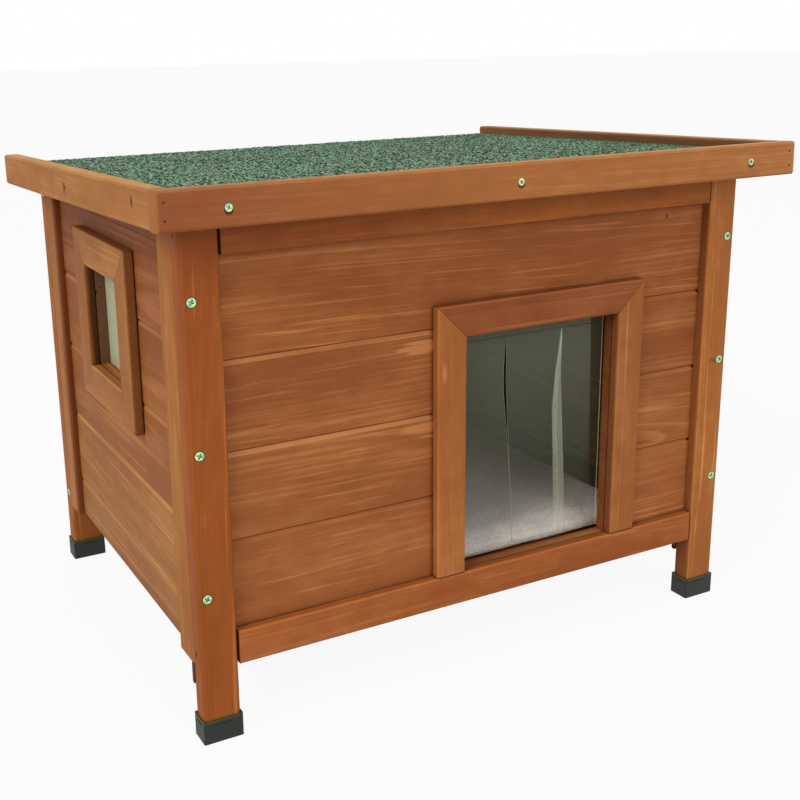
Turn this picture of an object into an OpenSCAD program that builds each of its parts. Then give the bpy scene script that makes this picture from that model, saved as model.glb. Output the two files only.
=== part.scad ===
// Outdoor cat house: a boarded box on four legs with a strip curtain, a window and a hinged felted roof.
// Frame: +Z up, the front (doorway) faces -Y, origin on the ground under the centre of the roof's outline.

/* [House] */
// Height from the ground to the top front edge of the roof boards
house_h = 432; // [410:1:480]
// Width over the legs
house_w = 518; // [500:1:620]
// Depth over the legs
house_d = 398; // [380:1:480]
// Height of the walls' lower edge above the ground
wall_z = 60; // [50:1:80]

/* [Boards and sticks] */
// Thickness of boards, rails and trim
board_t = 9; // [8:0.5:9.5]
// Radius of the long edges of rails, trim and posts
edge_r = 2; // [1:0.25:3]
// Top of the lowest course of the front and rear walls, above the ground
front_course_z = 159; // [150:1:162]
// Top of the lowest course of the side walls, above the ground
side_course_z = 99; // [94:1:100]
// Distance of the side walls' highest joint below the roof's top edge
top_course_drop = 51; // [48:0.5:54]
// Depth of the bevels along a board's outer edges
bevel = 1.2; // [0.5:0.1:1.5]
// Height of the bevel along a board's upper edge
bevel_h = 3.5; // [1:0.25:5]
// Height of a board's tongue
tongue_h = 3.5; // [2.5:0.5:4.5]
// Thickness of a board's tongue
tongue_t = 3; // [2:0.5:4]
// Clearance round a tongue in its groove
tongue_gap = 0.3; // [0.2:0.05:0.6]
// Open joint between one board and the next
joint_gap = 0.2; // [0.1:0.05:0.3]
// Depth to which board ends lie behind a leg or post
lap = 10; // [8:0.5:12]
// Gap between a board's end and the rebate that holds it
end_gap = 0.5; // [0.3:0.1:0.8]

/* [Legs] */
// Width of a leg, seen from the front
leg_w = 30; // [26:1:36]
// Thickness of a leg, seen from the side
leg_t = 18; // [18:0.5:24]
// Radius of a leg's long edges
leg_r = 3; // [1:0.5:4]
// Height of a foot cap
cap_h = 19; // [14:1:26]
// Wall of a foot cap
cap_wall = 1.3; // [1:0.1:2.5]
// Radius of a foot cap's upright edges
cap_r = 1.5; // [0.5:0.25:3]
// Thickness of a foot cap's sole
cap_sole = 2.5; // [2:0.5:5]
// Height and depth of the moulded line on a foot cap's faces
cap_line = 0.8; // [0.6:0.1:1.2]
// Height of the moulded line above the ground
cap_line_z = 15; // [9:0.5:15]
// Clearance between a leg and its foot cap
cap_gap = 0.1; // [0.05:0.05:0.3]
// Height of the rest block behind a front leg
block_h = 18; // [12:1:24]
// Thickness of the rest block
block_t = 4.5; // [4:0.5:8]
// Radius of the rest block's edges
block_r = 1.5; // [0.5:0.25:2]

/* [Rails] */
// Height of a bottom rail
bottom_rail_h = 28; // [24:1:34]
// Distance of the front top rail's underside below the roof's top edge
front_rail_drop = 53; // [48:1:62]
// Distance of the rear top rail's underside below the roof's top edge
rear_rail_drop = 62; // [58:1:68]
// Gap between a rail's end and the leg beside it
rail_gap = 1.5; // [0.5:0.25:2]

/* [Side walls] */
// Width of a side post, seen from the side
post_w = 30; // [26:1:36]
// Thickness of a side post
post_t = 15; // [15:0.5:18]

/* [Doorway] */
// Distance of the doorway's centre line from the centre of the house
door_x = 54.5; // [40:0.5:70]
// Clear width of the doorway
door_w = 154; // [140:1:170]
// Distance of the doorway's top below the joint above it
door_drop = 8; // [6:0.5:14]
// Width of the door trim
door_trim_w = 27.5; // [24:0.5:32]
// Gap between mitred ends of trim
mitre_gap = 0.3; // [0.1:0.1:0.5]

/* [Curtain] */
// Thickness of the plastic sheet
sheet_t = 1; // [0.8:0.1:2]
// Gap between the curtain's side edges and the doorway
curtain_side_gap = 2; // [1:0.5:4]
// Gap between the strips' lower ends and the top of the bottom rail
curtain_sill_gap = 4; // [2:0.5:8]
// Distance of the swinging line below the doorway's top
strip_pivot_drop = 10.5; // [10:0.5:22]
// Width of the left strip
strip_left_w = 47.5; // [40:0.5:52]
// Width of the middle strip
strip_middle_w = 57; // [50:0.5:62]
// Width of a slit between strips
slit_w = 1; // [0.6:0.2:2]
// Height of the header sheet above the doorway's top
header_rise = 26; // [22:1:30]
// Height of the batten that clamps the curtain
batten_h = 24; // [16:1:24]
// Height of the batten's lower edge above the doorway's top
batten_rise = 4; // [3:0.5:6]
// Length of the batten past each edge of the doorway
batten_past = 14; // [10:1:20]

/* [Window] */
// Distance of the window's lower edge above the joint below it
window_rise = 4.5; // [3:0.5:9]
// Clear width of the window
window_w = 90; // [80:1:110]
// Clear height of the window
window_h = 91; // [86:1:92]
// Width of the window trim
window_trim_w = 30.5; // [24:0.5:34]
// Thickness of the pane
pane_t = 2; // [2:0.5:3]
// Width of the pane behind the boards on each side
pane_lap = 14; // [12:1:20]

/* [Floor] */
// Thickness of the floor panel
floor_t = 6; // [4:1:9]
// Height of a floor bearer
bearer_h = 10; // [8:1:12]
// Width of a floor bearer
bearer_w = 15; // [12:1:20]
// Radius of a floor bearer's edges
bearer_r = 1; // [0.5:0.25:2]
// Clearance between the floor panel and the walls
floor_gap = 0.8; // [0.5:0.1:0.9]
// Distance of the fleece pad's side edges from the side walls
pad_side_gap = 39; // [24:1:54]
// Distance of the fleece pad's front and rear edges from the front and rear boards
pad_end_gap = 7; // [6:1:30]
// Height of the pad's edge above the floor
pad_edge_h = 13; // [10:0.5:14]
// Height of the pad's crown above the floor
pad_crown_h = 20; // [16:0.5:21]

/* [Roof] */
// Overhang of the roof on each side of the legs
roof_side = 26; // [21:0.5:60]
// Overhang of the roof behind the legs, along its slope
roof_rear = 25.5; // [23.5:0.5:60]
// Fall of the roof towards the rear, in degrees
roof_slope = 1.8; // [1:0.1:2.4]
// Overhang of the roof in front of the legs
roof_front = 36.5; // [34:0.5:38]
// Height of the roof's edge boards
fascia_h = 28; // [27:1:34]
// Thickness of the roof's edge boards
fascia_t = 15; // [12:0.5:16]
// Radius of the long edges of the roof's edge boards
fascia_r = 2.5; // [1:0.25:4]
// Depth of the felt's surface below the top of the edge boards
felt_drop = 7.5; // [5:0.5:8]
// Thickness of the felt
felt_t = 2.5; // [2:0.5:3]
// Distance of the felt's rear edge in front of the edge boards' rear ends
felt_set = 6; // [4:0.5:8]
// Clearance between the walls' upper ends and the roof board
roof_gap = 0.3; // [0.2:0.1:0.6]

/* [Hinges] */
// Length of a hinge
hinge_len = 40; // [36:1:60]
// Distance of each hinge's middle from the house's side
hinge_inset = 89; // [69:1:109]
// Reach of a hinge leaf from the pin's centre
hinge_reach = 15; // [13:0.5:15.5]
// Thickness of a hinge leaf
leaf_t = 1.2; // [1:0.1:1.5]
// Radius of a hinge knuckle
knuckle_r = 2.7; // [2.5:0.1:3.2]
// Radius of a hinge pin
pin_r = 1.4; // [1.2:0.1:1.6]
// Clearance round a hinge pin
pin_gap = 0.05; // [0.03:0.01:0.08]
// Gap between neighbouring knuckles, and between a knuckle and the wood
knuckle_gap = 0.3; // [0.25:0.05:0.5]
// Distance of a hinge's screws from its middle
hinge_screw_x = 13.5; // [12:0.5:15]
// Distance of a hinge's screws from the pin's centre
hinge_screw_reach = 9.5; // [8.5:0.25:10]

/* [Fasteners] */
// Radius of a frame screw's head
screw_head_r = 3.5; // [3.25:0.25:4.5]
// Radius of a frame screw's shank
screw_r = 1.9; // [1.5:0.1:2.2]
// Length of a frame screw
screw_len = 36; // [30:1:37]
// Turn of the cross recesses in the screws' heads
cross_turn = 25; // [0:5:45]
// Radius of the head of a screw in the front edge board of the roof
roof_head_r = 2.75; // [2.5:0.25:3.5]
// Radius of the shank of a screw in the front edge board of the roof
roof_shank_r = 1.6; // [1.3:0.1:1.9]
// Length of a screw in the front edge board of the roof
roof_screw_len = 30; // [24:1:36]
// Length of a screw in a rear leg's side
side_screw_len = 32; // [26:1:40]
// Radius of a small screw's head
small_head_r = 2.6; // [2.2:0.1:3]
// Radius of a small screw's shank
small_r = 1.3; // [1:0.1:1.5]
// Depth to which a small screw bites into the wood
small_bite = 7; // [5:0.5:8]
// Clearance round every screw and nail
screw_gap = 0.05; // [0.03:0.01:0.1]
// Radius of a nail
nail_r = 0.9; // [0.7:0.1:1.2]
// Length of a nail in the roof
roof_nail_len = 24; // [20:1:28]
// Length of a nail in a front leg's side
leg_nail_len = 32; // [26:1:40]
// Depth of a nail's head below the surface
nail_sink = 0.4; // [0.2:0.1:1]
// Distance of the frame screws from a leg's outer side
screw_inset = 7.5; // [7:0.25:8]
// Height of the lowest frame screw above the ground
screw_z = 121; // [100:1:130]
// Distance of the highest frame screw below the roof's top edge
screw_drop = 84; // [75:1:110]
// Height of the lower fasteners in the legs' sides above the ground
low_side_z = 72; // [68:1:78]
// Distance of the upper fasteners in the legs' sides below the walls' upper ends
upper_side_drop = 17; // [12:1:20]
// Distance of the outer roof screws from the roof's sides
roof_screw_inset = 50; // [35:1:85]
// Distance of the outer side nails from the ends of the roof
side_nail_inset = 50; // [40:1:80]
// Distance of the fasteners in the legs' sides from the wall's outer face
side_fix_inset = 10.5; // [10.5:0.25:13]
// Distance of the corner nails from the ends of the front edge board
corner_nail_inset = 5.5; // [5:0.25:8]
// Distance of the upper corner nails below the top of the edge boards
corner_nail_z = 8; // [6:0.5:10]
// Distance between the two corner nails
corner_nail_step = 12; // [8:0.5:14]

/* [Hidden] */

$fn = 32;
tiny = 0.01;
big = 2000;

// Roof outline, seen from above: the front edge boards lean out by their height times the slope
roof_w = house_w + 2 * roof_side;
roof_d = roof_front + house_d + roof_rear;
roof_lean = fascia_h * sin(roof_slope);
roof_y = -(roof_d * cos(roof_slope) - roof_lean) / 2;
roof_under = felt_drop + felt_t + board_t;

// Wall planes
front_y = roof_y + roof_front;
rear_y = front_y + house_d;
mid_y = front_y + house_d / 2;
half_w = house_w / 2;
leg_in_x = half_w - leg_w;
side_front_y = front_y + leg_t;
side_rear_y = rear_y - leg_t;
post_z = wall_z + 1;
side_skin_x = half_w - post_t + board_t;
side_in_x = half_w - post_t;

// Underside of the roof board at a depth y
function under_z(y) = house_h - roof_under / cos(roof_slope) - (y - roof_y) * tan(roof_slope);

// Courses, top rails, openings and screws, which follow the height of the house
side_courses = 4;
course_h = (house_h - top_course_drop - side_course_z) / side_courses;
front_top_rail_z = house_h - front_rail_drop;
rear_top_rail_z = house_h - rear_rail_drop;
door_z = front_course_z + 2 * course_h - door_drop;
strip_pivot_z = door_z - strip_pivot_drop;
window_z = side_course_z + 2 * course_h + window_rise + window_h / 2;
screw_step = (house_h - screw_drop - screw_z) / 2;

// Doorway and curtain
sill_z = wall_z + bottom_rail_h;
door_l = door_x - door_w / 2;
door_r = door_x + door_w / 2;
curtain_l = door_l + curtain_side_gap;
curtain_r = door_r - curtain_side_gap;
strip_bottom_z = sill_z + curtain_sill_gap;
sheet_y = front_y + 2 * board_t;
pivot_gap = 0.15;
header_z = strip_pivot_z + sheet_t / 2 + pivot_gap;
header_top_z = door_z + header_rise;
batten_z = door_z + batten_rise;
strip_middle_l = curtain_l + strip_left_w + slit_w;
strip_right_l = strip_middle_l + strip_middle_w + slit_w;

// Floor
floor_under_z = post_z + bearer_h;
floor_top_z = floor_under_z + floor_t;
soft_gap = 0.3;
pad_z = floor_top_z + soft_gap;
pad_w = 2 * (side_in_x - pad_side_gap);
pad_d = side_rear_y - side_front_y - 2 * pad_end_gap;

// Hinge pin
hinge_x = half_w - hinge_inset;
pin_y = rear_y + knuckle_gap + knuckle_r;
pin_z = under_z(pin_y) - (knuckle_gap + knuckle_r) / cos(roof_slope);
knuckle_len = (hinge_len - 2 * knuckle_gap) / 3;
pin_roof_y = (pin_y - roof_y) * cos(roof_slope) - (pin_z - house_h) * sin(roof_slope);

// Fastener places
roof_screw_x = roof_w / 2 - roof_screw_inset;
board_mid_z = -roof_under + board_t / 2;
side_fix_y = front_y + side_fix_inset;
front_upper_z = under_z(front_y) - upper_side_drop;
rear_upper_z = under_z(rear_y) - upper_side_drop;

// Colours
wood = [0.66, 0.38, 0.21];
wood_dark = [0.56, 0.31, 0.17];
rubber = [0.13, 0.15, 0.13];
zinc = [0.80, 0.85, 0.72];
felt_green = [0.30, 0.45, 0.37];
clear = [0.72, 0.80, 0.72, 0.45];
fleece = [0.76, 0.71, 0.68];

// A flat outline with round corners, centred
module round_rect(w, d, r) {
  square([w - 2 * r, d], center = true);
  square([w, d - 2 * r], center = true);
  for (x = [-1, 1], y = [-1, 1])
    translate([x * (w / 2 - r), y * (d / 2 - r)])
      circle(r = r);
}

// A stick along X from x0 to x1, filling y0..y1 and z0..z1, with round long edges
module stick_x(x0, x1, y0, y1, z0, z1, r = edge_r) {
  translate([x0, (y0 + y1) / 2, (z0 + z1) / 2])
    rotate([90, 0, 90])
      linear_extrude(x1 - x0)
        round_rect(y1 - y0, z1 - z0, r);
}

// The same along Y
module stick_y(x0, x1, y0, y1, z0, z1, r = edge_r) {
  translate([(x0 + x1) / 2, y1, (z0 + z1) / 2])
    rotate([90, 0, 0])
      linear_extrude(y1 - y0)
        round_rect(x1 - x0, z1 - z0, r);
}

// The same along Z
module stick_z(x0, x1, y0, y1, z0, z1, r = edge_r) {
  translate([(x0 + x1) / 2, (y0 + y1) / 2, z0])
    linear_extrude(z1 - z0)
      round_rect(x1 - x0, y1 - y0, r);
}

// A plain block between two corners
module block(a, b) {
  translate(a)
    cube(b - a);
}

// Puts the roof's own frame in place: y runs back along the slope, z = 0 is the edge boards' top
module on_roof() {
  translate([0, roof_y, house_h])
    rotate([-roof_slope, 0, 0])
      children();
}

// Everything above the walls' sloping upper ends
module above_walls() {
  on_roof()
    translate([-big / 2, -big / 2, -roof_under - roof_gap])
      cube(big);
}

// Mirrors a front wall piece to the rear wall
module to_rear() {
  translate([0, 2 * mid_y, 0])
    mirror([0, 1, 0])
      children();
}

// Mirrors a left piece to the right
module to_right() {
  mirror([1, 0, 0])
    children();
}

// A countersunk screw with its head at the origin, pointing along +Y, or with a gap the hole for it
module screw(head_r, r, len, gap = 0) {
  head_h = head_r - r;
  rotate([-90, 0, 0]) {
    translate([0, 0, head_h - tiny])
      cylinder(r = r + gap, h = len - head_h + gap + tiny);
    cylinder(r1 = head_r + gap, r2 = r + gap, h = head_h);
    if (gap > 0)
      translate([0, 0, -1])
        cylinder(r = head_r + gap, h = 1 + tiny);
  }
}

// Cross recess of a screw's head
module cross_slot(head_r) {
  arm = head_r * 1.25;
  wide = head_r * 0.3;
  deep = head_r * 0.28;
  for (a = [0, 90])
    rotate([0, cross_turn + a, 0])
      translate([-arm / 2, -1, -wide / 2])
        cube([arm, deep + 1, wide]);
}

// A board's cross-section: x is its thickness from the outer face, y its height
module board_outline(pitch, groove, tongue) {
  h = pitch - joint_gap;
  t = board_t;
  groove_t = tongue_t + tongue_gap;
  difference() {
    union() {
      polygon([[bevel, 0], [t, 0], [t, h], [bevel, h], [0, h - bevel_h], [0, bevel]]);
      if (tongue)
        translate([(t - tongue_t) / 2, h - tiny])
          square([tongue_t, tongue_h + tiny]);
    }
    if (groove)
      translate([(t - groove_t) / 2, -1])
        square([groove_t, tongue_h + tongue_gap + 1]);
  }
}

// A front wall board from height z0 to z1, with its ends behind the legs
module front_board(z0, z1, groove, tongue) {
  reach = leg_in_x + lap - end_gap;
  translate([-reach, front_y + board_t, z0])
    rotate([90, 0, 90])
      linear_extrude(2 * reach)
        board_outline(z1 - z0, groove, tongue);
}

// The hole that the doorway makes in the front boards
module door_hole() {
  block([door_l, front_y - 5, sill_z], [door_r, front_y + 40, door_z]);
}

// A left wall board from height z0 to z1, with its ends behind the posts
module side_board(z0, z1, groove, tongue) {
  y0 = side_front_y + post_w - lap + end_gap;
  y1 = side_rear_y - post_w + lap - end_gap;
  difference() {
    translate([-side_skin_x, y1, z0])
      rotate([90, 0, 0])
        linear_extrude(y1 - y0)
          board_outline(z1 - z0, groove, tongue);
    above_walls();
  }
}

// The hole that the window makes in the left boards
module window_hole() {
  block(
    [-half_w - 20, mid_y - window_w / 2, window_z - window_h / 2],
    [-side_in_x + 5, mid_y + window_w / 2, window_z + window_h / 2]
  );
}

// Front left leg, square at the top and without its fastener holes
module leg_blank() {
  difference() {
    stick_z(-half_w, -leg_in_x, front_y, front_y + leg_t, cap_sole, house_h, leg_r);
    block(
      [-leg_in_x - lap, front_y + board_t, wall_z],
      [-leg_in_x + 5, front_y + leg_t + 5, house_h + 1]
    );
  }
}

// A foot cap under the front left leg, with a short moulded line on its faces
module foot_cap() {
  g = cap_gap;
  w = cap_wall + g;
  x0 = -half_w - w;
  x1 = -leg_in_x + w;
  y0 = front_y - w;
  y1 = front_y + leg_t + w;
  difference() {
    stick_z(x0, x1, y0, y1, 0, cap_h, cap_r);
    stick_z(-half_w - g, -leg_in_x + g, front_y - g, front_y + leg_t + g, cap_sole, cap_h + 1, leg_r);
  }
  for (x = [x0, x1])
    translate([x, (y0 + y1) / 2, cap_line_z])
      cube([cap_line, leg_t / 2, cap_line], center = true);
  for (y = [y0, y1])
    translate([(x0 + x1) / 2, y, cap_line_z])
      cube([leg_w / 2, cap_line, cap_line], center = true);
}

// The rest block behind the front left leg, under the side post
module rest_block() {
  y0 = front_y + leg_t;
  stick_x(-half_w, -leg_in_x, y0, y0 + block_t, post_z - block_h, post_z, block_r);
}

// Calls its children once at each frame screw of the front legs
module at_leg_screws() {
  for (x = [-1, 1], i = [0:2])
    translate([x * (half_w - screw_inset), front_y, screw_z + i * screw_step])
      children();
}

// Calls its children once at each fastener in the front legs' sides, pointing inwards
module at_side_fasteners(upper_z) {
  for (x = [-1, 1], z = [low_side_z, upper_z])
    translate([x * half_w, side_fix_y, z])
      rotate([0, 0, x * 90])
        children();
}

// Calls its children once at each screw of the curtain's batten, pointing outwards
module at_batten_screws() {
  reach = (door_w + batten_past) / 2;
  for (x = [-1:1])
    translate([door_x + x * reach, sheet_y + sheet_t + board_t, batten_z + batten_h / 2])
      rotate([0, 0, 180])
        children();
}

// Calls its children once at each corner screw of the pane, pointing outwards
module at_pane_screws() {
  for (y = [-1, 1], z = [-1, 1])
    translate([
      -side_in_x + pane_t,
      mid_y + y * (window_w + pane_lap) / 2,
      window_z + z * (window_h + pane_lap) / 2
    ])
      rotate([0, 0, 90])
        children();
}

// Calls its children once at each screw of the hinges' fixed leaves, pointing forwards
module at_fixed_leaf_screws() {
  for (s = [-1, 1], x = [-1, 1])
    translate([s * hinge_x + x * hinge_screw_x, rear_y + leaf_t, pin_z - hinge_screw_reach])
      rotate([0, 0, 180])
        children();
}

// Calls its children once at each screw of the hinges' moving leaves, pointing up, in the roof's frame
module at_moving_leaf_screws() {
  for (s = [-1, 1], x = [-1, 1])
    translate([s * hinge_x + x * hinge_screw_x, pin_roof_y + hinge_screw_reach, -roof_under - leaf_t])
      rotate([90, 0, 0])
        children();
}

// A small screw through a thickness t into the wood, or with a gap the hole for it
module small_screw(t, gap = 0) {
  screw(small_head_r, small_r, t + small_bite, gap);
}

// A nail sunk below the surface at the origin, pointing along +Y
module nail(len) {
  rotate([-90, 0, 0])
    translate([0, 0, nail_sink])
      cylinder(r = nail_r, h = len);
}

// The hole round a nail
module nail_hole(len) {
  rotate([-90, 0, 0])
    translate([0, 0, -1])
      cylinder(r = nail_r + screw_gap, h = len + nail_sink + 1 + screw_gap);
}

// Wood removed for the fasteners of the front wall, and above it
module front_cuts() {
  above_walls();
  at_leg_screws()
    screw(screw_head_r, screw_r, screw_len, screw_gap);
  at_side_fasteners(front_upper_z)
    nail_hole(leg_nail_len);
  at_batten_screws()
    small_screw(board_t + sheet_t, screw_gap);
}

// Wood removed for the fasteners of the rear wall, and above it
module rear_cuts() {
  above_walls();
  to_rear() {
    at_leg_screws()
      screw(screw_head_r, screw_r, screw_len, screw_gap);
    at_side_fasteners(rear_upper_z)
      screw(screw_head_r, screw_r, side_screw_len, screw_gap);
  }
}

// Legs, caps and blocks
module front_leg(side) {
  color(wood)
    difference() {
      mirror([side > 0 ? 1 : 0, 0, 0])
        leg_blank();
      front_cuts();
    }
}
module rear_leg(side) {
  color(wood)
    difference() {
      to_rear()
        mirror([side > 0 ? 1 : 0, 0, 0])
          leg_blank();
      rear_cuts();
    }
}
module front_leg_left() {
  front_leg(-1);
}
module front_leg_right() {
  front_leg(1);
}
module rear_leg_left() {
  rear_leg(-1);
}
module rear_leg_right() {
  rear_leg(1);
}
module foot_cap_front_left() {
  color(rubber)
    foot_cap();
}
module foot_cap_front_right() {
  color(rubber)
    to_right()
      foot_cap();
}
module foot_cap_rear_left() {
  color(rubber)
    to_rear()
      foot_cap();
}
module foot_cap_rear_right() {
  color(rubber)
    to_rear()
      to_right()
        foot_cap();
}
module rest_blocks() {
  color(wood_dark) {
    rest_block();
    to_right()
      rest_block();
  }
}

// Rails between the legs
module bottom_rail() {
  x = leg_in_x - rail_gap;
  stick_x(-x, x, front_y, front_y + board_t, wall_z, sill_z);
}
module front_bottom_rail() {
  color(wood)
    bottom_rail();
}
module rear_bottom_rail() {
  color(wood)
    to_rear()
      bottom_rail();
}
module front_top_rail() {
  x = leg_in_x - rail_gap;
  color(wood)
    difference() {
      stick_x(-x, x, front_y, front_y + board_t, front_top_rail_z, house_h);
      above_walls();
    }
}
module rear_top_rail() {
  x = leg_in_x - rail_gap;
  color(wood)
    difference() {
      stick_x(-x, x, rear_y - board_t, rear_y, rear_top_rail_z, house_h);
      above_walls();
      at_fixed_leaf_screws()
        small_screw(leaf_t, screw_gap);
    }
}

// Front and rear boards, numbered upwards
function front_joint(i) = i < 0 ? wall_z : i > 2 ? house_h : front_course_z + i * course_h;
module front_course(i) {
  color(wood)
    difference() {
      front_board(front_joint(i - 1), front_joint(i), i > 0, i < 3);
      door_hole();
      front_cuts();
    }
}
module front_board_1() {
  front_course(0);
}
module front_board_2() {
  front_course(1);
}
module front_board_3() {
  front_course(2);
}
module front_board_4() {
  front_course(3);
}
module rear_boards() {
  color(wood_dark)
    for (i = [0:3])
      difference() {
        to_rear()
          front_board(front_joint(i - 1), front_joint(i), i > 0, i < 3);
        rear_cuts();
      }
}

// Side posts
module plain_post() {
  difference() {
    stick_z(-half_w, -side_in_x, side_front_y, side_front_y + post_w, post_z, house_h);
    block(
      [-side_skin_x, side_front_y + post_w - lap, post_z - 1],
      [-side_in_x + 5, side_front_y + post_w + 5, house_h]
    );
  }
}
module side_post(side, rear) {
  color(wood)
    difference() {
      mirror([side > 0 ? 1 : 0, 0, 0])
        if (rear)
          to_rear()
            plain_post();
        else
          plain_post();
      if (rear)
        rear_cuts();
      else
        front_cuts();
    }
}
module side_post_left_front() {
  side_post(-1, false);
}
module side_post_left_rear() {
  side_post(-1, true);
}
module side_post_right_front() {
  side_post(1, false);
}
module side_post_right_rear() {
  side_post(1, true);
}

// Side boards, numbered upwards, and the tapered filler under the roof
function side_joint(i) = i < 0 ? post_z : i > 4 ? house_h : side_course_z + i * course_h;
module side_course(i) {
  side_board(side_joint(i - 1), side_joint(i), i > 0, i < 5);
}
module left_course(i) {
  color(wood)
    difference() {
      side_course(i);
      window_hole();
      at_pane_screws()
        small_screw(pane_t, screw_gap);
    }
}
module left_board_1() {
  left_course(0);
}
module left_board_2() {
  left_course(1);
}
module left_board_3() {
  left_course(2);
}
module left_board_4() {
  left_course(3);
}
module left_board_5() {
  left_course(4);
}
module left_filler() {
  left_course(5);
}
module right_boards() {
  color(wood_dark)
    to_right()
      for (i = [0:4])
        side_course(i);
}
module right_filler() {
  color(wood_dark)
    to_right()
      side_course(5);
}

// Door trim, mitred at its upper corners
module door_trim_side(side) {
  x = side < 0 ? door_l : door_r;
  color(wood)
    difference() {
      stick_z(
        min(x, x + side * door_trim_w), max(x, x + side * door_trim_w),
        front_y, front_y + board_t, sill_z, door_z + door_trim_w
      );
      translate([x, 0, door_z])
        mirror([side < 0 ? 0 : 1, 0, 0])
          rotate([0, -45, 0])
            translate([-mitre_gap / 2, front_y - 5, -big / 2])
              cube([big, board_t + 10, big]);
    }
}
module door_trim_left() {
  door_trim_side(-1);
}
module door_trim_right() {
  door_trim_side(1);
}
module door_trim_top() {
  color(wood)
    difference() {
      stick_x(
        door_l - door_trim_w, door_r + door_trim_w,
        front_y, front_y + board_t, door_z, door_z + door_trim_w
      );
      for (s = [-1, 1])
        translate([s < 0 ? door_l : door_r, 0, door_z])
          mirror([s < 0 ? 0 : 1, 0, 0])
            rotate([0, -45, 0])
              translate([-big + mitre_gap / 2, front_y - 5, -big / 2])
                cube([big, board_t + 10, big]);
    }
}

// Window trim, mitred at its corners, and the pane
trim_out_x = side_skin_x + board_t;
module window_member(turn) {
  inner = turn % 180 == 0 ? window_w : window_h;
  drop = turn % 180 == 0 ? window_h : window_w;
  color(wood)
    translate([0, mid_y, window_z])
      rotate([turn, 0, 0])
        difference() {
          stick_y(
            -trim_out_x, -side_skin_x, -inner / 2 - window_trim_w, inner / 2 + window_trim_w,
            drop / 2, drop / 2 + window_trim_w
          );
          for (s = [-1, 1])
            translate([-trim_out_x - 5, s * inner / 2, drop / 2])
              mirror([0, s < 0 ? 1 : 0, 0])
                rotate([-45, 0, 0])
                  translate([0, -mitre_gap / 2, -big / 2])
                    cube([board_t + 10, big, big]);
        }
}
module window_trim_top() {
  window_member(0);
}
module window_trim_rear() {
  window_member(-90);
}
module window_trim_bottom() {
  window_member(180);
}
module window_trim_front() {
  window_member(90);
}
module window_pane() {
  color(clear)
    difference() {
      block(
        [-side_in_x, mid_y - window_w / 2 - pane_lap, window_z - window_h / 2 - pane_lap],
        [-side_in_x + pane_t, mid_y + window_w / 2 + pane_lap, window_z + window_h / 2 + pane_lap]
      );
      at_pane_screws()
        small_screw(pane_t, screw_gap);
    }
}

// Curtain
module curtain_header() {
  color(clear)
    difference() {
      block([curtain_l, sheet_y, header_z], [curtain_r, sheet_y + sheet_t, header_top_z]);
      at_batten_screws()
        small_screw(board_t + sheet_t, screw_gap);
    }
}
module curtain_batten() {
  color(wood_dark)
    difference() {
      stick_x(
        door_l - batten_past, door_r + batten_past,
        sheet_y + sheet_t, sheet_y + sheet_t + board_t, batten_z, batten_z + batten_h
      );
      at_batten_screws()
        small_screw(board_t + sheet_t, screw_gap);
    }
}
module curtain_strip(x0, x1) {
  color(clear)
    block([x0, sheet_y, strip_bottom_z], [x1, sheet_y + sheet_t, strip_pivot_z]);
}
module curtain_strip_left() {
  curtain_strip(curtain_l, curtain_l + strip_left_w);
}
module curtain_strip_middle() {
  curtain_strip(strip_middle_l, strip_middle_l + strip_middle_w);
}
module curtain_strip_right() {
  curtain_strip(strip_right_l, curtain_r);
}

// Floor
module floor_bearers() {
  color(wood_dark)
    for (s = [-1, 1])
      mirror([s < 0 ? 0 : 1, 0, 0])
        stick_y(
          -side_in_x, -side_in_x + bearer_w, side_front_y, side_rear_y,
          floor_under_z - bearer_h, floor_under_z, bearer_r
        );
}
module floor_panel() {
  color(wood_dark)
    block(
      [-side_in_x + floor_gap, side_front_y + floor_gap, floor_under_z],
      [side_in_x - floor_gap, side_rear_y - floor_gap, floor_top_z]
    );
}

// Fleece pad: rings of points from its underside round a rolled edge to a low crown.
// Each ring is a squarish oval whose sides are drawn in a little between the corners.
pad_n = 64;
pad_power = 0.28;
pad_pull = 0.012;
pad_roll = pad_edge_h / 2;
pad_rings = concat(
  [for (a = [-90:30:90]) [pad_roll * (1 - cos(a)) / (pad_d / 2), pad_roll * (1 + sin(a))]],
  [for (t = [0.12:0.16:0.92]) [t, pad_edge_h + (pad_crown_h - pad_edge_h) * sin(90 * t)]]
);
function soft_sign(v) = sign(v) * pow(abs(v), pad_power);
function pad_point(i, inset) =
  let (
    x = soft_sign(cos(i * 360 / pad_n)),
    y = soft_sign(sin(i * 360 / pad_n)),
    k = 1 - inset - pad_pull * (1 - pow(x * y, 2))
  )
  [pad_w / 2 * x * k, pad_d / 2 * y * k];
module floor_cushion() {
  last = len(pad_rings) - 1;
  rings = [
    for (l = pad_rings, i = [0:pad_n - 1])
      concat(pad_point(i, l[0]), [l[1]])
  ];
  under = len(rings);
  over = under + 1;
  sides = [
    for (l = [0:last - 1], i = [0:pad_n - 1])
      let (
        a = l * pad_n + i,
        b = l * pad_n + (i + 1) % pad_n
      )
      each [[a, a + pad_n, b], [b, a + pad_n, b + pad_n]]
  ];
  under_fan = [for (i = [0:pad_n - 1]) [under, i, (i + 1) % pad_n]];
  over_fan = [
    for (i = [0:pad_n - 1])
      [over, last * pad_n + (i + 1) % pad_n, last * pad_n + i]
  ];
  color(fleece)
    translate([0, mid_y, pad_z])
      polyhedron(
        points = concat(rings, [[0, 0, 0]], [[0, 0, pad_crown_h]]),
        faces = concat(sides, under_fan, over_fan)
      );
}

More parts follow.
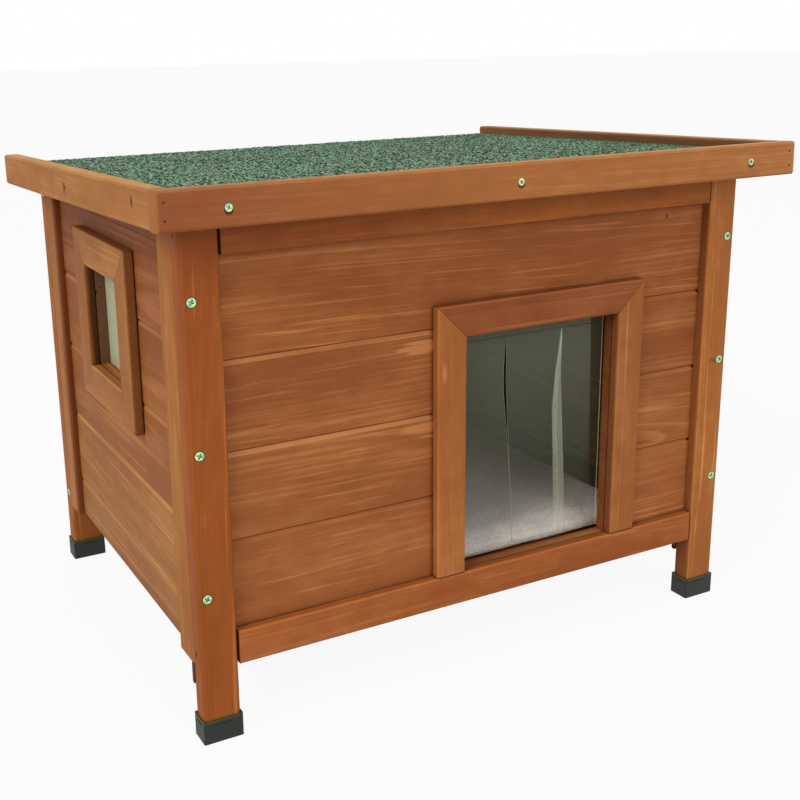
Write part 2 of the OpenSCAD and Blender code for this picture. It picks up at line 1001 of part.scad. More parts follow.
// Fasteners
module crossed(head_r) {
  difference() {
    children();
    cross_slot(head_r);
  }
}
module frame_screws() {
  color(zinc) {
    at_leg_screws()
      crossed(screw_head_r)
        screw(screw_head_r, screw_r, screw_len);
    to_rear() {
      at_leg_screws()
        crossed(screw_head_r)
          screw(screw_head_r, screw_r, screw_len);
      at_side_fasteners(rear_upper_z)
        crossed(screw_head_r)
          screw(screw_head_r, screw_r, side_screw_len);
    }
  }
}
module frame_nails() {
  color(zinc)
    at_side_fasteners(front_upper_z)
      nail(leg_nail_len);
}
module small_screws() {
  color(zinc) {
    at_batten_screws()
      crossed(small_head_r)
        small_screw(board_t + sheet_t);
    at_pane_screws()
      crossed(small_head_r)
        small_screw(pane_t);
    at_fixed_leaf_screws()
      crossed(small_head_r)
        small_screw(leaf_t);
  }
}

// Hinges: the outer knuckles belong to the fixed leaf, the middle one to the moving leaf
module at_pin(x0) {
  translate([x0, pin_y, pin_z])
    rotate([0, 90, 0])
      children();
}
module knuckle(x0, x1) {
  at_pin(x0)
    cylinder(r = knuckle_r, h = x1 - x0);
}
module pin_hole(half) {
  at_pin(-half - 1)
    cylinder(r = pin_r + pin_gap, h = 2 * half + 2);
}
module hinge_leaves_fixed() {
  half = hinge_len / 2;
  notch = knuckle_len / 2 + knuckle_gap;
  color(zinc)
    for (s = [-1, 1])
      translate([s * hinge_x, 0, 0])
        difference() {
          union() {
            for (e = [-1, 1])
              knuckle(e < 0 ? -half : notch, e < 0 ? -notch : half);
            difference() {
              union() {
                block([-half, rear_y, pin_z - hinge_reach], [half, rear_y + leaf_t, pin_z]);
                for (e = [-1, 1])
                  block(
                    [e < 0 ? -half : notch, rear_y, pin_z - knuckle_r],
                    [e < 0 ? -notch : half, pin_y - pin_r - pin_gap, pin_z]
                  );
              }
              block(
                [-notch, rear_y - 1, pin_z - knuckle_r - 2 * knuckle_gap],
                [notch, pin_y, pin_z + 1]
              );
            }
          }
          translate([-s * hinge_x, 0, 0])
            at_fixed_leaf_screws()
              small_screw(leaf_t, screw_gap);
          pin_hole(half);
        }
}
module hinge_pins() {
  color(zinc)
    for (s = [-1, 1])
      at_pin(s * hinge_x - hinge_len / 2)
        cylinder(r = pin_r, h = hinge_len);
}
module hinge_leaves_moving() {
  half = hinge_len / 2;
  notch = knuckle_len / 2;
  neck = notch - knuckle_gap;
  clear = knuckle_r + knuckle_gap;
  color(zinc)
    for (s = [-1, 1])
      translate([s * hinge_x, 0, 0])
        difference() {
          union() {
            knuckle(-notch, notch);
            on_roof()
              translate([0, pin_roof_y, -roof_under - leaf_t])
                linear_extrude(leaf_t)
                  polygon([
                    [-neck, knuckle_r / 3], [neck, knuckle_r / 3],
                    [neck, clear], [half, clear], [half, hinge_reach],
                    [-half, hinge_reach], [-half, clear], [-neck, clear]
                  ]);
          }
          pin_hole(notch);
          translate([-s * hinge_x, 0, 0])
            on_roof()
              at_moving_leaf_screws()
                small_screw(leaf_t, screw_gap);
        }
}

// Roof
board_w = roof_w - 2 * fascia_t;
module roof_board() {
  color(wood_dark)
    on_roof()
      difference() {
        block(
          [-board_w / 2, fascia_t, -roof_under],
          [board_w / 2, roof_d - felt_set, -roof_under + board_t]
        );
        at_roof_screws()
          screw(roof_head_r, roof_shank_r, roof_screw_len, screw_gap);
        side_roof_nails()
          nail_hole(roof_nail_len);
        at_moving_leaf_screws()
          small_screw(leaf_t, screw_gap);
      }
}
module roof_felt() {
  color(felt_green)
    on_roof()
      block(
        [-board_w / 2, fascia_t, -felt_drop - felt_t],
        [board_w / 2, roof_d - felt_set, -felt_drop]
      );
}
module at_roof_screws() {
  for (x = [-1:1])
    translate([x * roof_screw_x, 0, board_mid_z])
      children();
}
module side_roof_nails() {
  for (s = [-1, 1], y = [side_nail_inset, roof_d / 2, roof_d - side_nail_inset])
    translate([s * roof_w / 2, y, board_mid_z])
      rotate([0, 0, s * 90])
        children();
}
module corner_roof_nails() {
  for (s = [-1, 1], z = [0, 1])
    translate([s * (roof_w / 2 - corner_nail_inset), 0, -corner_nail_z - z * corner_nail_step])
      children();
}
module roof_edge_front() {
  color(wood)
    on_roof()
      difference() {
        stick_x(-roof_w / 2, roof_w / 2, 0, fascia_t, -fascia_h, 0, fascia_r);
        at_roof_screws()
          screw(roof_head_r, roof_shank_r, roof_screw_len, screw_gap);
        corner_roof_nails()
          nail_hole(roof_nail_len);
      }
}
module roof_edge_side(side) {
  x0 = side < 0 ? -roof_w / 2 : roof_w / 2 - fascia_t;
  color(wood)
    on_roof()
      difference() {
        stick_y(x0, x0 + fascia_t, fascia_t, roof_d, -fascia_h, 0, fascia_r);
        side_roof_nails()
          nail_hole(roof_nail_len);
        corner_roof_nails()
          nail_hole(roof_nail_len);
      }
}
module roof_edge_left() {
  roof_edge_side(-1);
}
module roof_edge_right() {
  roof_edge_side(1);
}
module roof_screws() {
  color(zinc)
    on_roof() {
      at_roof_screws()
        crossed(roof_head_r)
          screw(roof_head_r, roof_shank_r, roof_screw_len);
      at_moving_leaf_screws()
        crossed(small_head_r)
          small_screw(leaf_t);
    }
}
module roof_nails() {
  color(zinc)
    on_roof() {
      side_roof_nails()
        nail(roof_nail_len);
      corner_roof_nails()
        nail(roof_nail_len);
    }
}

front_leg_left();
front_leg_right();
rear_leg_left();
rear_leg_right();
foot_cap_front_left();
foot_cap_front_right();
foot_cap_rear_left();
foot_cap_rear_right();
rest_blocks();
front_bottom_rail();
front_top_rail();
rear_bottom_rail();
rear_top_rail();
front_board_1();
front_board_2();
front_board_3();
front_board_4();
rear_boards();
side_post_left_front();
side_post_left_rear();
side_post_right_front();
side_post_right_rear();
left_board_1();
left_board_2();
left_board_3();
left_board_4();
left_board_5();
left_filler();
right_boards();
right_filler();
door_trim_left();
door_trim_right();
door_trim_top();
window_trim_top();
window_trim_bottom();
window_trim_front();
window_trim_rear();
window_pane();
curtain_header();
curtain_batten();
curtain_strip_left();
curtain_strip_middle();
curtain_strip_right();
floor_bearers();
floor_panel();
floor_cushion();
frame_screws();
frame_nails();
small_screws();
hinge_leaves_fixed();
hinge_pins();
hinge_leaves_moving();
roof_board();
roof_felt();
roof_edge_front();
roof_edge_left();
roof_edge_right();
roof_screws();
roof_nails();
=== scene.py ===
import math
import random

import bpy
from mathutils import Matrix, Vector, noise


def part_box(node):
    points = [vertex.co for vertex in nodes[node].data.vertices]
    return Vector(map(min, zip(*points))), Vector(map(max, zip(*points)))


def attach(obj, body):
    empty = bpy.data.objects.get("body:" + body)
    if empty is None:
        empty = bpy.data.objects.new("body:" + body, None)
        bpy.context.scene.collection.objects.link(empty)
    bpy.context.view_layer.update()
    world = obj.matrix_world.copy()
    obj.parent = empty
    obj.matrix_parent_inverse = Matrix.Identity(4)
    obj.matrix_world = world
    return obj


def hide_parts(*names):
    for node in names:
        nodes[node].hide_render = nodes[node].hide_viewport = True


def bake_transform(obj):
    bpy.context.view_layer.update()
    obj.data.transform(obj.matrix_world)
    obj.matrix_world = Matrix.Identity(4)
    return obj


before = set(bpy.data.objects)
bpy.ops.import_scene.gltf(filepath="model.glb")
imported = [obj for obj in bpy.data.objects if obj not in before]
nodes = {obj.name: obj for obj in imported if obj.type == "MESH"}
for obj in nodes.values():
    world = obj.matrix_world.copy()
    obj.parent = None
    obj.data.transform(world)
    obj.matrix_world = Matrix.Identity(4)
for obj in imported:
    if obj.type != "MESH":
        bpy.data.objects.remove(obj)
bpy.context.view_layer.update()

scene = bpy.context.scene
scene.view_settings.view_transform = "Standard"


def deselect():
    """Leaves nothing selected, so that the next operator acts on its own piece alone."""
    for thing in bpy.context.selected_objects:
        thing.select_set(False)


deselect()


# Camera, at the photograph's viewing angle.
# The lens, the turn and the shift were worked out from the corners of the house in the photograph.
turn_left = math.radians(27.784)
look_down = math.radians(15.334)
roll = math.radians(-0.911)
back = Vector((
    -math.sin(turn_left) * math.cos(look_down),
    -math.cos(turn_left) * math.cos(look_down),
    math.sin(look_down),
))
level_right = (-back).cross(Vector((0, 0, 1))).normalized()
level_up = level_right.cross(-back)
right = level_right * math.cos(roll) + level_up * math.sin(roll)
up = level_up * math.cos(roll) - level_right * math.sin(roll)
view = bpy.data.cameras.new("photo_camera")
view.sensor_fit = "HORIZONTAL"
view.sensor_width = 36
view.lens = 52.42
view.shift_x = 0.0519
view.shift_y = -0.0596
view.clip_end = 60
camera_place = Vector((-0.5173, -0.94535, 0.52698))
camera = bpy.data.objects.new("photo_camera", view)
camera.matrix_world = Matrix((right, up, back)).transposed().to_4x4()
camera.matrix_world.translation = camera_place
scene.collection.objects.link(camera)
scene.camera = camera


# Studio: a pale paper floor under a pale sky, with a soft lamp at the left and a weaker one in front.
# The camera sees white behind the house; the light that falls on the house is set apart from that.
def shade(tree, kind, inputs=(), **settings):
    """Adds one shader node, sets its options, and links or sets its inputs."""
    made = tree.nodes.new("ShaderNode" + kind)
    for key, value in settings.items():
        setattr(made, key, value)
    for key, value in dict(inputs).items():
        if isinstance(value, bpy.types.NodeSocket):
            tree.links.new(value, made.inputs[key])
        else:
            made.inputs[key].default_value = value
    return made


def reckon(tree, operation, *numbers):
    """One step of arithmetic on numbers."""
    return shade(tree, "Math", dict(enumerate(numbers)), operation=operation).outputs[0]


def seen_share(tree, most):
    """The most where the camera, a gloss or clear plastic looks at the background, and 0 for its light."""
    rays = shade(tree, "LightPath").outputs
    seen = reckon(tree, "MAXIMUM", rays["Is Camera Ray"], rays["Is Glossy Ray"])
    seen = reckon(tree, "MAXIMUM", seen, rays["Is Transmission Ray"])
    return reckon(tree, "MULTIPLY", seen, most)


def new_look(name):
    """An empty material of shader nodes, and its tree."""
    material = bpy.data.materials.new(name)
    material.use_nodes = True
    material.node_tree.nodes.clear()
    return material, material.node_tree


sky = bpy.data.worlds.new("studio_sky")
scene.world = sky
sky.use_nodes = True
tree = sky.node_tree
tree.nodes.clear()
soft = shade(tree, "Background", {"Color": (0.98, 0.985, 1, 1), "Strength": 0.5})
white = shade(tree, "Background", {"Color": (1, 1, 1, 1), "Strength": 1.0})
mixed = shade(tree, "MixShader", {0: seen_share(tree, 1.0), 1: soft.outputs[0], 2: white.outputs[0]})
shade(tree, "OutputWorld", {"Surface": mixed.outputs[0]})

bpy.ops.mesh.primitive_plane_add(size=40, location=(0, 0, 0))
floor = bpy.context.object
floor.name = "studio_floor"
paper, tree = new_look("studio_paper")
paper_white = 0.93
matt = shade(tree, "BsdfDiffuse", {"Color": (0.86, 0.86, 0.86, 1)})
glow = shade(tree, "Emission", {"Color": (1, 1, 1, 1), "Strength": 1.0})
seen = seen_share(tree, paper_white)
mixed = shade(tree, "MixShader", {0: seen, 1: matt.outputs[0], 2: glow.outputs[0]})
shade(tree, "OutputMaterial", {"Surface": mixed.outputs[0]})
floor.data.materials.append(paper)


def softbox(name, place, target, size, power, colour=(1, 1, 1)):
    """A square studio lamp at a place, turned to a target."""
    lamp = bpy.data.lights.new(name, "AREA")
    lamp.size = size
    lamp.energy = power
    lamp.color = colour
    stand = bpy.data.objects.new(name, lamp)
    stand.location = place
    stand.rotation_euler = (Vector(target) - Vector(place)).to_track_quat("-Z", "Y").to_euler()
    scene.collection.objects.link(stand)


softbox("key_lamp", (-2.6, -1.3, 2.3), (0, 0, 0.2), 1.6, 53, (1, 0.97, 0.91))
softbox("front_lamp", (0.5, -2.8, 1.45), (0.05, 0, 0.12), 1.4, 20)


# Legs: four sticks of stained softwood with rounded edges, cut off under the sloping roof.
# Rails, boards and posts are screwed and nailed to them, and each one stands in a rubber cap.
def srgb(r, g, b, a=1.0):
    """A colour written as on a screen, 0 to 255, in the shader's own scale."""
    return tuple(((v / 255 + 0.055) / 1.055) ** 2.4 if v > 10 else v / 255 / 12.92 for v in (r, g, b)) + (a,)


def span(tree, value, low, high, to_low=0.0, to_high=1.0, kind="LINEAR"):
    """Turns the values from low to high into values from to_low to to_high."""
    limits = {"Value": value, "From Min": low, "From Max": high, "To Min": to_low, "To Max": to_high}
    return shade(tree, "MapRange", limits, interpolation_type=kind).outputs[0]


def lay_over(tree, share, under, over):
    """Lays one colour over another by a share."""
    return shade(tree, "Mix", {0: share, 6: under, 7: over}, data_type="RGBA").outputs[2]


def sum_of(tree, start, *parts):
    """Adds up a number and (value, weight) pairs."""
    total = start
    for value, weight in parts:
        total = reckon(tree, "MULTIPLY_ADD", value, weight, total)
    return total


def vector(tree, operation, first, second, third=(0, 0, 0)):
    """One step of vector arithmetic."""
    return shade(tree, "VectorMath", {0: first, 1: second, 2: third}, operation=operation).outputs[0]


def length(tree, value):
    """The length of a vector."""
    return shade(tree, "VectorMath", {0: value}, operation="LENGTH").outputs["Value"]


def relief(tree, height, strength, distance):
    """Small bumps and hollows that follow a height."""
    return shade(tree, "Bump", {"Height": height, "Strength": strength, "Distance": distance}).outputs[0]


def cover(tree, inputs):
    """Ends a material in one surface."""
    surface = shade(tree, "BsdfPrincipled", inputs)
    shade(tree, "OutputMaterial", {"Surface": surface.outputs[0]})


def grain_noise(tree, place, stretch, scale, detail=2.0, rough=0.5):
    """Noise drawn out along the fibres, which run along X, by the stretch."""
    drawn = shade(tree, "Mapping", {"Vector": place, "Scale": (1 / stretch, 1, 1)}).outputs[0]
    return shade(tree, "TexNoise", {"Vector": drawn, "Scale": scale, "Detail": detail, "Roughness": rough})


def lay_spots(tree, place, ragged, colour, spots):
    """Lays knots, nail marks, screw rims, pale flames and patches of painted shade on a colour.

    Each spot is (centre, reach, colour with its strength, softness, raggedness along the fibres).
    """
    for centre, reach, tint, softness, frayed in spots:
        near = vector(tree, "MULTIPLY_ADD", ragged, (frayed,) * 3, place) if frayed else place
        away = vector(tree, "SUBTRACT", near, tuple(centre))
        away = length(tree, vector(tree, "MULTIPLY", away, tuple(1 / r for r in reach)))
        share = span(tree, away, 1 - softness, 1.0, tint[3], 0.0, "SMOOTHSTEP")
        colour = lay_over(tree, share, colour, tint[:3] + (1,))
    return colour


ring_width = 0.0042


def stained_wood(name, box, grain, base, seed, rings=1.0, streaks=1.0, edge_wear_and_light=1.0, paler_top=0.0, spots=()):
    """Softwood under an orange-brown stain, with its fibres along the grain axis of a piece's box.

    The year rings run round a heart beside the piece; their hard parts took less stain and look paler.
    Rounded edges are paler where they look up and darker where they look down, partly worn stain and partly
    painted light from above; upper faces can be made paler, and crevices get a painted shade.
    """
    luck = random.Random(seed)
    material, tree = new_look(name)
    low, high = Vector(box[0]), Vector(box[1])
    size = high - low
    place = shade(tree, "TexCoord").outputs["Object"]
    centred = vector(tree, "SUBTRACT", place, tuple((low + high) / 2))
    to_x = {"X": (0, 0, 0), "Y": (0, 0, -math.pi / 2), "Z": (0, math.pi / 2, 0)}[grain]
    along = shade(tree, "Mapping", {"Vector": centred, "Rotation": to_x}).outputs[0]
    thick, wide = {"X": (size.y, size.z), "Y": (size.x, size.z), "Z": (size.y, size.x)}[grain]
    depth = luck.uniform(0.03, 0.06) * luck.choice((-1, 1))
    drift = luck.uniform(-0.6, 0.6) * max(thick, wide)
    heart = (depth, drift) if thick < wide else (drift, depth)
    log = shade(tree, "Mapping", {
        "Vector": along,
        "Location": (luck.uniform(-3, 3),) + heart,
        "Rotation": (0, math.radians(luck.uniform(-1.6, 1.6)), math.radians(luck.uniform(-1.6, 1.6))),
    }).outputs[0]

    # year rings: the distance from the heart, bent a little along the log and cut into uneven steps
    bend = grain_noise(tree, log, 5.0, 9.0, 1.0).outputs["Color"]
    bent = vector(tree, "MULTIPLY_ADD", bend, (0, 0.02, 0.02), log)
    radius = length(tree, vector(tree, "MULTIPLY", bent, (0, 1, 1)))
    uneven = shade(tree, "TexNoise", {"W": radius, "Scale": 160.0, "Detail": 1.0}, noise_dimensions="1D")
    count = sum_of(tree, 0.0, (radius, 1 / ring_width), (uneven.outputs[0], 2.2))
    hard = shade(tree, "ValToRGB", {"Fac": reckon(tree, "FRACT", count)})
    ring = hard.color_ramp
    ring.elements[0].color = (0.3, 0.3, 0.3, 1)
    ring.elements[-1].color = (0.3, 0.3, 0.3, 1)
    for at, v in ((0.08, 0.25), (0.55, 0.42), (0.84, 1.0), (0.93, 0.75)):
        ring.elements.new(at).color = (v, v, v, 1)
    bands = grain_noise(tree, log, 7.0, 26.0, 1.0).outputs["Fac"]
    clear = span(tree, bands, 0.44, 0.62, 0.12, 1.0, "SMOOTHSTEP")
    hard = reckon(tree, "MULTIPLY", hard.outputs[0], clear)

    # fibres, thin pale streaks, broad clouds and small blots of stain
    fibres = grain_noise(tree, log, 60.0, 1100.0, 3.0, 0.6).outputs["Fac"]
    thin = grain_noise(tree, log, 70.0, 340.0, 2.0).outputs["Fac"]
    cloud = grain_noise(tree, log, 3.5, 17.0, 3.0).outputs["Fac"]
    streak = reckon(tree, "MULTIPLY", span(tree, thin, 0.58, 0.74, 0.0, 1.0, "SMOOTHSTEP"), cloud)
    blots = grain_noise(tree, log, 1.6, 75.0, 2.0).outputs["Fac"]

    # rounded and bevelled edges are paler where they look up and darker where they look down: partly worn
    # stain, partly painted light, a highlight on the upper edges and shade on the lower ones
    facing = shade(tree, "NewGeometry").outputs["Normal"]
    sides = shade(tree, "VectorMath", {0: facing}, operation="ABSOLUTE").outputs[0]
    sides = shade(tree, "SeparateXYZ", {0: sides}).outputs
    most = reckon(tree, "MAXIMUM", reckon(tree, "MAXIMUM", sides[0], sides[1]), sides[2])
    edge = span(tree, most, 0.97, 0.94, 0.0, 1.0)
    rise = shade(tree, "SeparateXYZ", {0: facing}).outputs[2]
    upward = span(tree, rise, -0.3, 0.25, -0.5, 1.0)
    edge = reckon(tree, "MULTIPLY", edge, upward)

    tone = sum_of(
        tree, -0.13,
        (hard, 0.33 * rings), (fibres, 0.36), (cloud, 0.6), (streak, 0.6 * streaks), (blots, 0.26),
        (edge, 0.3 * edge_wear_and_light),
    )
    # upper faces are made paler by this share
    if paler_top:
        tone = sum_of(tree, tone, (span(tree, rise, 0.9, 0.99), paler_top))
    stain = shade(tree, "ValToRGB", {"Fac": tone})
    coat = stain.color_ramp
    coat.elements[0].position = 0.15
    coat.elements[0].color = tuple(v * 0.7 for v in base[:3]) + (1,)
    coat.elements[1].position = 1.0
    coat.elements[1].color = (min(1, base[0] * 1.75), min(1, base[1] * 2.25), min(1, base[2] * 2.7), 1)
    coat.elements.new(0.5).color = base
    # crevices are darkened towards deep brown by ambient occlusion: painted shade
    painted_nook_shade = shade(tree, "AmbientOcclusion", {"Distance": 0.004}, samples=4).outputs["AO"]
    colour = lay_over(tree, span(tree, painted_nook_shade, 0.25, 0.8, 0.6, 0.0), stain.outputs[0], srgb(52, 20, 8))
    frayed = grain_noise(tree, log, 30.0, 420.0, 1.0).outputs["Color"]
    ragged = vector(tree, "SUBTRACT", frayed, (0.5, 0.5, 0.5))
    colour = lay_spots(tree, place, ragged, colour, spots)

    height = sum_of(tree, 0.0, (fibres, 0.7), (hard, 0.5))
    cover(tree, {
        "Base Color": colour, "Roughness": span(tree, fibres, 0.3, 0.7, 0.55, 0.7),
        "Normal": relief(tree, height, 0.25, 0.0005), "Specular IOR Level": 0.12,
    })
    return material


def dress(part, material):
    """Gives a piece one material."""
    part.data.materials.clear()
    part.data.materials.append(material)


orange = srgb(156, 86, 38)
brown = srgb(147, 84, 42)
umber = srgb(46, 20, 10)
front_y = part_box("front_leg_left")[0].y
leg_screw_heights = (0.121, 0.2345, 0.348)
leg_screw_inset = 0.0075
side_nail_inset = 0.0105
front_nail_heights = (0.072, 0.3948)
rear_screw_heights = (0.072, 0.3811)
screw_rim = 0.0046


def leg_marks(leg):
    """Dark rims round a leg's screws, and round the nails or screws in its side."""
    low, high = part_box(leg)
    outer, inward = (low.x, 1) if low.x < 0 else (high.x, -1)
    face, deeper = (low.y, 1) if "front" in leg else (high.y, -1)
    rim = umber[:3] + (0.85,)
    screw_x, nail_y = outer + inward * leg_screw_inset, face + deeper * side_nail_inset
    marks = [((screw_x, face, z), (screw_rim,) * 3, rim, 0.25, 0) for z in leg_screw_heights]
    heights, reach = rear_screw_heights, (screw_rim,) * 3
    if "front" in leg:
        heights, reach = front_nail_heights, (0.004, 0.0015, 0.0035)
    marks += [((outer, nail_y, z), reach, rim, 0.3, 0) for z in heights]
    return marks


leg_tones = {
    "front_leg_left": srgb(155, 82, 34), "front_leg_right": srgb(168, 101, 48),
    "rear_leg_left": srgb(160, 92, 42), "rear_leg_right": orange,
}
for seed, (leg, tone) in enumerate(leg_tones.items(), 11):
    spots = leg_marks(leg)
    if leg == "front_leg_left":
        spots.insert(0, ((0, front_y, 0.40), (1, 0.02, 0.30), srgb(128, 62, 28, 0.4), 1.0, 0))
    if leg == "front_leg_right":
        knot = (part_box(leg)[1].x - 0.0135, front_y, leg_screw_heights[1] - 0.0005)
        spots.append((knot, (0.011, 0.004, 0.0028), srgb(84, 58, 26, 0.6), 0.7, 0.01))
        # the right leg's inner side is darkened: painted shade
        spots.append(((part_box(leg)[0].x, 0, 0), (0.0012, 1, 1), srgb(112, 60, 34, 0.6), 0.6, 0))
    wood = stained_wood(leg + "_wood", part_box(leg), "Z", tone, seed, rings=0.4, edge_wear_and_light=0.2, spots=spots)
    dress(nodes[leg], wood)


# Foot caps: moulded black rubber, pushed over the ends of the legs.
# Each has a short moulded line on every side, and its upper lip has a dull green bloom.
def speckle(tree, place, scale, detail=2.0):
    """Noise of the same size in every direction."""
    return shade(tree, "TexNoise", {"Vector": place, "Scale": scale, "Detail": detail}).outputs["Fac"]


rubber, tree = new_look("cap_rubber")
place = shade(tree, "TexCoord").outputs["Object"]
grit = speckle(tree, place, 700.0, 3.0)
dust = speckle(tree, place, 70.0)
tone = lay_over(tree, dust, srgb(18, 24, 16), srgb(40, 46, 34))
level = shade(tree, "SeparateXYZ", {0: place}).outputs[2]
lip_low, lip_high = 0.0170, 0.0184
tone = lay_over(tree, span(tree, level, lip_low, lip_high, 0.0, 0.75), tone, srgb(62, 80, 22))
cover(tree, {
    "Base Color": tone, "Roughness": span(tree, grit, 0.3, 0.7, 0.45, 0.65), "Specular IOR Level": 0.38,
    "Normal": relief(tree, grit, 0.3, 0.0004),
})
for cap in ("foot_cap_front_left", "foot_cap_front_right", "foot_cap_rear_left", "foot_cap_rear_right"):
    dress(nodes[cap], rubber)


# Rest blocks: short offcuts behind the front legs, just under the side posts.
# They are glued to the legs, and the posts' lower ends stand on them.
block_tone = srgb(104, 46, 20)
wood = stained_wood("rest_block_wood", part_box("rest_blocks"), "Z", block_tone, 21, rings=0.4)
dress(nodes["rest_blocks"], wood)


# Front and rear rails: planed sticks between the legs, flush with the legs' outer faces.
# The bottom rails hide the lowest boards' edge, and the rear top rail carries the roof's hinges.
rail_tones = {
    "front_bottom_rail": srgb(154, 84, 40), "front_top_rail": srgb(146, 78, 33),
    "rear_bottom_rail": brown, "rear_top_rail": brown,
}
for seed, (rail, tone) in enumerate(rail_tones.items(), 31):
    wood = stained_wood(rail + "_wood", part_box(rail), "X", tone, seed, rings=0.4, streaks=0.6, edge_wear_and_light=0.5)
    dress(nodes[rail], wood)


# Front and rear boards: tongued and grooved courses whose outer edges are bevelled, the upper ones more.
# Their ends lie in rebates behind the legs, and the doorway is cut through three of them.
board_setback = 0.009
board_y = front_y + board_setback
flame = srgb(196, 128, 76, 0.75)
faint = srgb(182, 116, 68, 0.55)
board_spots = {
    "front_board_1": [
        ((-0.1200, board_y, 0.1440), (0.036, 0.02, 0.0034), faint, 0.5, 0.014),
        ((-0.0700, board_y, 0.1480), (0.050, 0.02, 0.0018), faint, 0.7, 0.010),
    ],
    "front_board_2": [
        ((-0.0510, board_y, 0.2190), (0.038, 0.02, 0.0075), flame, 0.45, 0.015),
        ((-0.0640, board_y, 0.1960), (0.060, 0.02, 0.0085), faint, 0.8, 0.030),
        ((0.1700, board_y, 0.1640), (0.018, 0.02, 0.0020), srgb(66, 34, 18, 0.5), 0.7, 0.010),
    ],
    "front_board_3": [
        ((-0.0560, board_y, 0.2870), (0.030, 0.02, 0.0052), flame, 0.30, 0.010),
        ((0.1585, board_y, 0.2310), (0.012, 0.02, 0.0022), srgb(60, 30, 16, 0.6), 0.6, 0.010),
    ],
    "front_board_4": [
        ((0.1877, board_y, 0.3701), (0.0016, 0.02, 0.0026), srgb(60, 30, 16, 0.7), 0.5, 0),
    ],
}
board_tones = {
    "front_board_1": srgb(155, 91, 48), "front_board_2": srgb(149, 87, 45),
    "front_board_3": srgb(143, 81, 41), "front_board_4": srgb(145, 82, 41), "rear_boards": brown,
}
notch = srgb(30, 12, 6, 0.9)
right_leg_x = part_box("front_leg_right")[0].x
# the doorway's right jamb is darkened: painted shade
door_jamb_shade = ((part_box("door_trim_right")[0].x, front_y, 0), (0.0012, 1, 1), srgb(106, 54, 30, 0.6), 0.4, 0)
for seed, (board, tone) in enumerate(board_tones.items(), 41):
    spots = list(board_spots.get(board, ()))
    if board in ("front_board_1", "front_board_2", "front_board_3"):
        # right of the doorway the bevels are as dark as the boards, and each joint ends in a notch
        bevel_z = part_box(board)[1].z - 0.0035
        soaked = tone[:3] + (0.7,)
        spots.append(((right_leg_x - 0.045, board_y, bevel_z), (0.075, 0.02, 0.0060), soaked, 0.5, 0))
        spots.append(((right_leg_x, board_y, bevel_z), (0.0030, 0.01, 0.0024), notch, 0.3, 0))
        spots.append(door_jamb_shade)
    rings, edge_wear_and_light = (0.6, 0.1) if board == "front_board_1" else (1.0, 1.5)
    wood = stained_wood(board + "_wood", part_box(board), "X", tone, seed, rings=rings, edge_wear_and_light=edge_wear_and_light, spots=spots)
    dress(nodes[board], wood)


# Side posts: rebated sticks behind the legs that frame the side walls.
# The side boards' ends lie in their rebates, so the posts stand a little proud of the boards.
for seed, post in enumerate((
    "side_post_left_front", "side_post_left_rear", "side_post_right_front", "side_post_right_rear",
), 51):
    tone, spots = srgb(156, 94, 42), []
    if post == "side_post_left_rear":
        # the post's face that looks forward is darkened: painted shade
        spots = [((0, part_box(post)[0].y, 0), (1, 0.008, 1), srgb(92, 38, 18, 0.7), 0.4, 0)]
    wood = stained_wood(post + "_wood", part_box(post), "Z", tone, seed, rings=0.4, streaks=0.6, spots=spots)
    dress(nodes[post], wood)


# Side boards: tongued and grooved courses like the front ones, with a tapered filler under the roof.
# The window is cut through the two upper boards of the left wall.
side_tones = {
    "left_board_1": srgb(143, 89, 45), "left_board_2": srgb(154, 98, 49), "left_board_3": srgb(148, 89, 44),
    "left_board_4": srgb(144, 84, 42), "left_board_5": srgb(130, 71, 37), "left_filler": srgb(134, 74, 37),
    "right_boards": brown, "right_filler": brown,
}
wall_x = abs(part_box("left_board_1")[0].x)
opening_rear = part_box("window_trim_rear")[0].y
opening_z = sum(corner.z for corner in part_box("window_trim_rear")) / 2
board_seat = 0.010
side_joints = (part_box("left_board_1")[0].y + board_seat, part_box("left_board_1")[1].y - board_seat)
jamb_shade = srgb(98, 72, 54, 0.85)
for seed, (board, tone) in enumerate(side_tones.items(), 61):
    spots = []
    if board in ("left_board_2", "left_board_3", "left_board_4", "left_board_5"):
        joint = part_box(board)[0].z
        spots = [((-wall_x, y, joint), (0.01, 0.0028, 0.0030), notch, 0.3, 0) for y in side_joints]
    if board in ("left_board_4", "left_board_5"):
        spots.append(((-wall_x, opening_rear, opening_z), (1, 0.0012, 0.07), jamb_shade, 0.5, 0))
    dress(nodes[board], stained_wood(board + "_wood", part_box(board), "Y", tone, seed, edge_wear_and_light=1.2, spots=spots))


# Door trim and window trim: planed strips, mitred at the corners and nailed round the openings.
# The door trim stands on the bottom rail, flush with it.
trim_tones = {
    "door_trim_left": ("Z", srgb(163, 98, 49)), "door_trim_right": ("Z", srgb(156, 94, 48)),
    "door_trim_top": ("X", srgb(131, 70, 35)),
    "window_trim_front": ("Z", srgb(156, 98, 48)), "window_trim_rear": ("Z", srgb(150, 92, 45)),
    "window_trim_top": ("Y", srgb(152, 94, 46)), "window_trim_bottom": ("Y", srgb(154, 96, 47)),
}
front_low, front_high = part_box("window_trim_front")
rear_low, rear_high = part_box("window_trim_rear")
